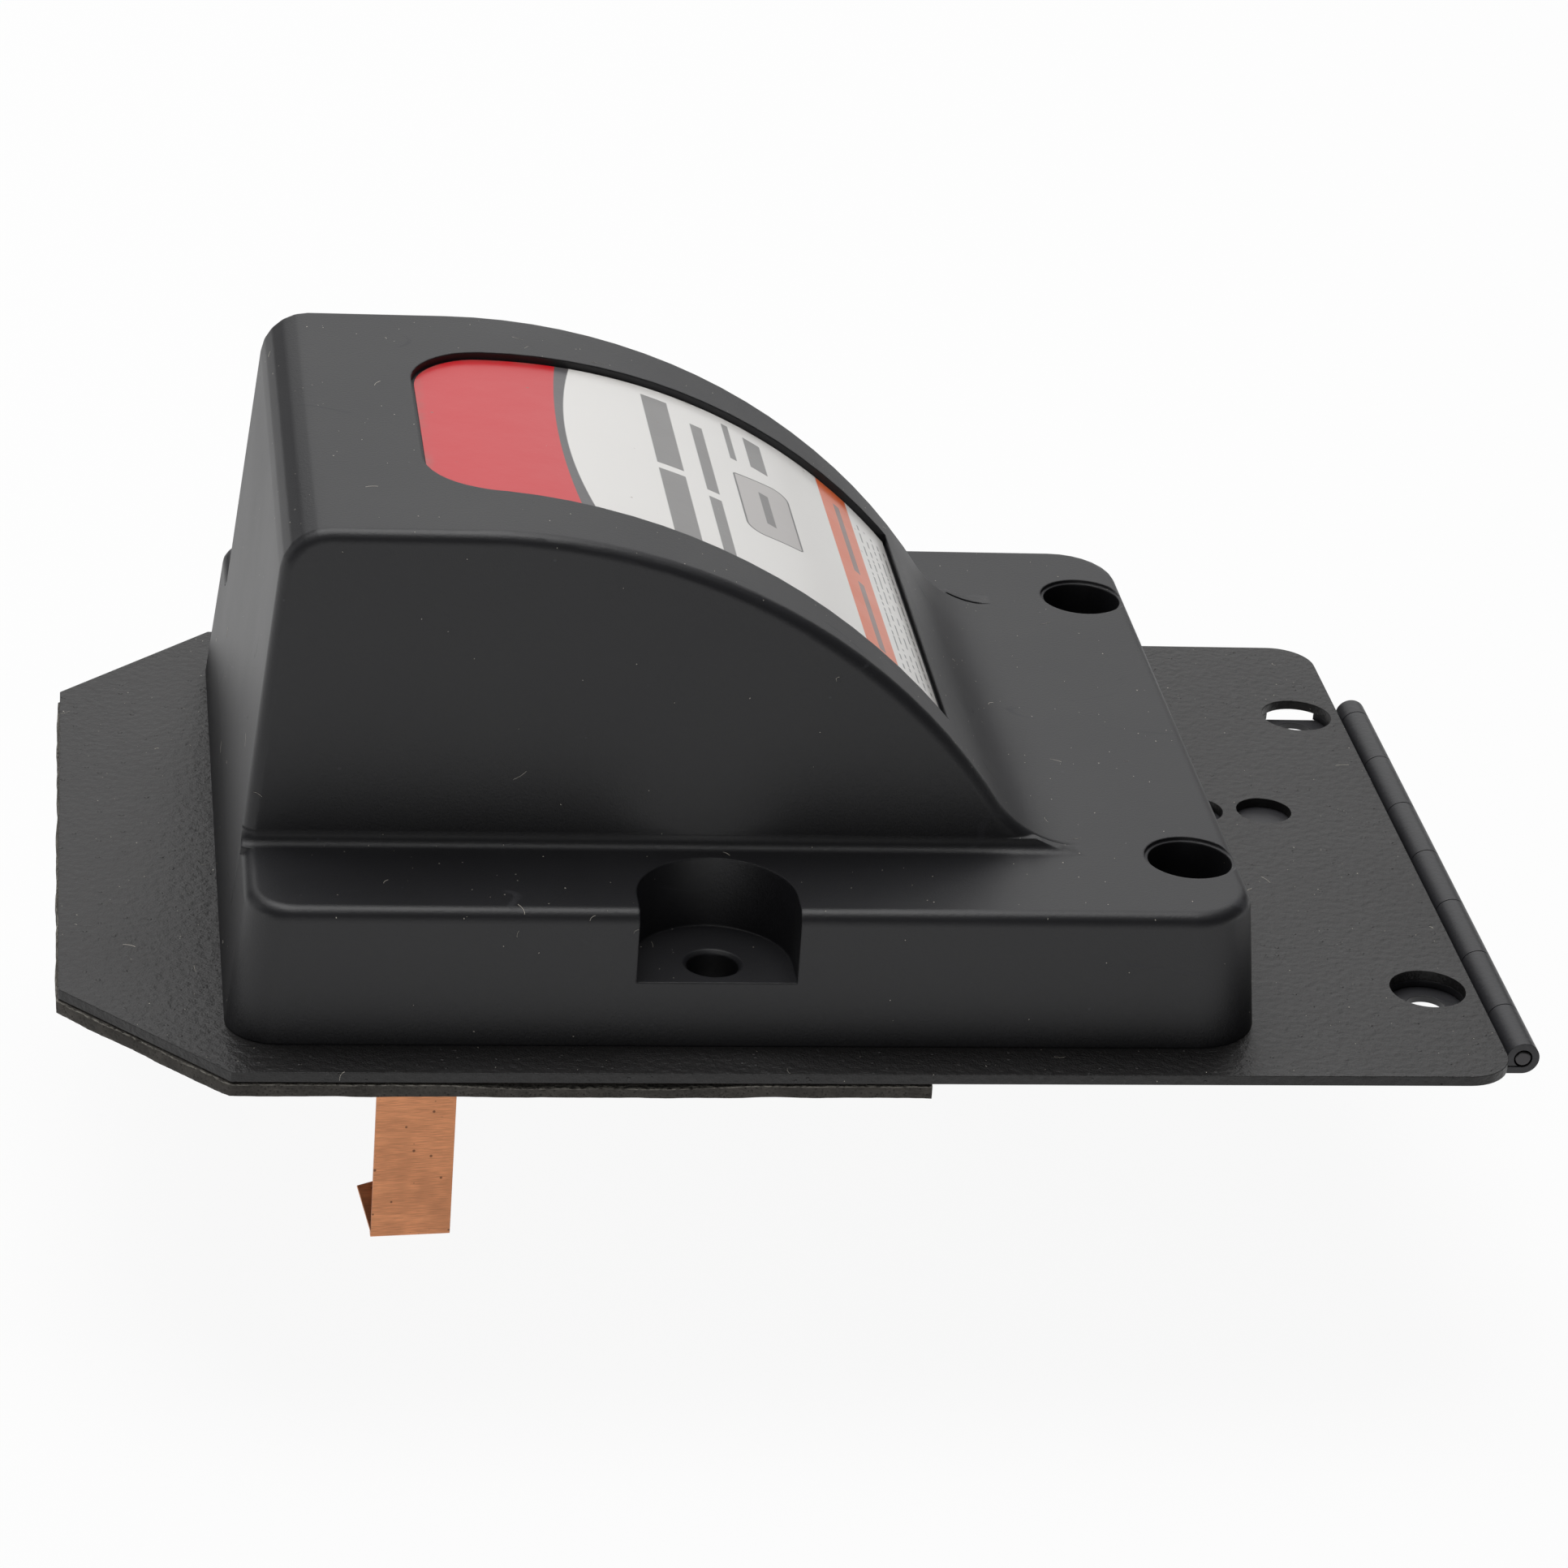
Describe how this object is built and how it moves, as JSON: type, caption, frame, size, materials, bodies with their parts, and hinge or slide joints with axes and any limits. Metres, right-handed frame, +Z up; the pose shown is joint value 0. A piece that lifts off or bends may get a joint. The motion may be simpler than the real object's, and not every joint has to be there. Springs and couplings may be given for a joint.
{
  "type": "electronic ignition transformer",
  "caption": "Black moulded ignition transformer with a curved hump on a hinged steel base plate, with a foam gasket and copper spring contacts underneath.",
  "frame": {"origin": "midway between the two screw holes of the loose hinge leaf, on the face that lies on the burner housing", "axes": "+X along the plate towards the hinge pin, +Y along the hinge away from the viewer, +Z up out of the burner housing"},
  "size_m": [0.1629, 0.112, 0.0931],
  "materials": {
    "cover_plastic": "satin black moulded plastic",
    "powder_coat": "black powder coat with a fine orange peel",
    "hinge_black": "black coated steel",
    "pin_steel": "dull steel",
    "gasket_foam": "dark grey foam",
    "label_film": "printed film in red, white and orange fields",
    "potting_resin": "black cast resin",
    "insulator_ceramic": "glazed",
    "stud_brass": "turned",
    "strap_copper": "copper strip, brushed across its width",
    "plated_steel": "zinc plated",
    "grommet_rubber": "matt",
    "core_ferrite": "sintered",
    "former_plastic": "moulded",
    "winding_copper": "enamelled wire",
    "board_laminate": "lacquered laminate",
    "capacitor_sleeve": "sleeve",
    "capacitor_film": "dipped film capacitor",
    "sink_aluminium": "plain sheet",
    "transistor_resin": "moulded",
    "resistor_ceramic": "coated"
  },
  "bodies": {
    "hinge_leaf": {"hinge_free_leaf": "hinge_black", "hinge_pin": "pin_steel"},
    "igniter": {"hinge_fixed_leaf": "hinge_black", "base_plate": "powder_coat", "gasket": "gasket_foam", "cover": "cover_plastic", "label": "label_film", "potting": "potting_resin", "insulator_front": "insulator_ceramic", "insulator_back": "insulator_ceramic", "stud_front": "stud_brass", "stud_back": "stud_brass", "strap_nuts": "plated_steel", "strap_front": "strap_copper", "strap_back": "strap_copper", "cover_screws": "plated_steel", "lead_grommet": "grommet_rubber", "core_front": "core_ferrite", "core_back": "core_ferrite", "coil_former": "former_plastic", "primary_winding": "winding_copper", "secondary_front": "winding_copper", "secondary_back": "winding_copper", "coil_leads": "winding_copper", "circuit_board": "board_laminate", "smoothing_capacitor": "capacitor_sleeve", "resonant_capacitor": "capacitor_film", "heat_sink": "sink_aluminium", "power_transistor": "transistor_resin", "diodes": "transistor_resin", "resistor": "resistor_ceramic"}
  },
  "joints": [
    {"name": "plate_hinge", "type": "hinge", "parent": "hinge_leaf", "child": "igniter", "pos_m": [0.00765, 0, 0.00185], "axis": [0, 1, 0], "range_deg": [0, 150]}
  ]
}
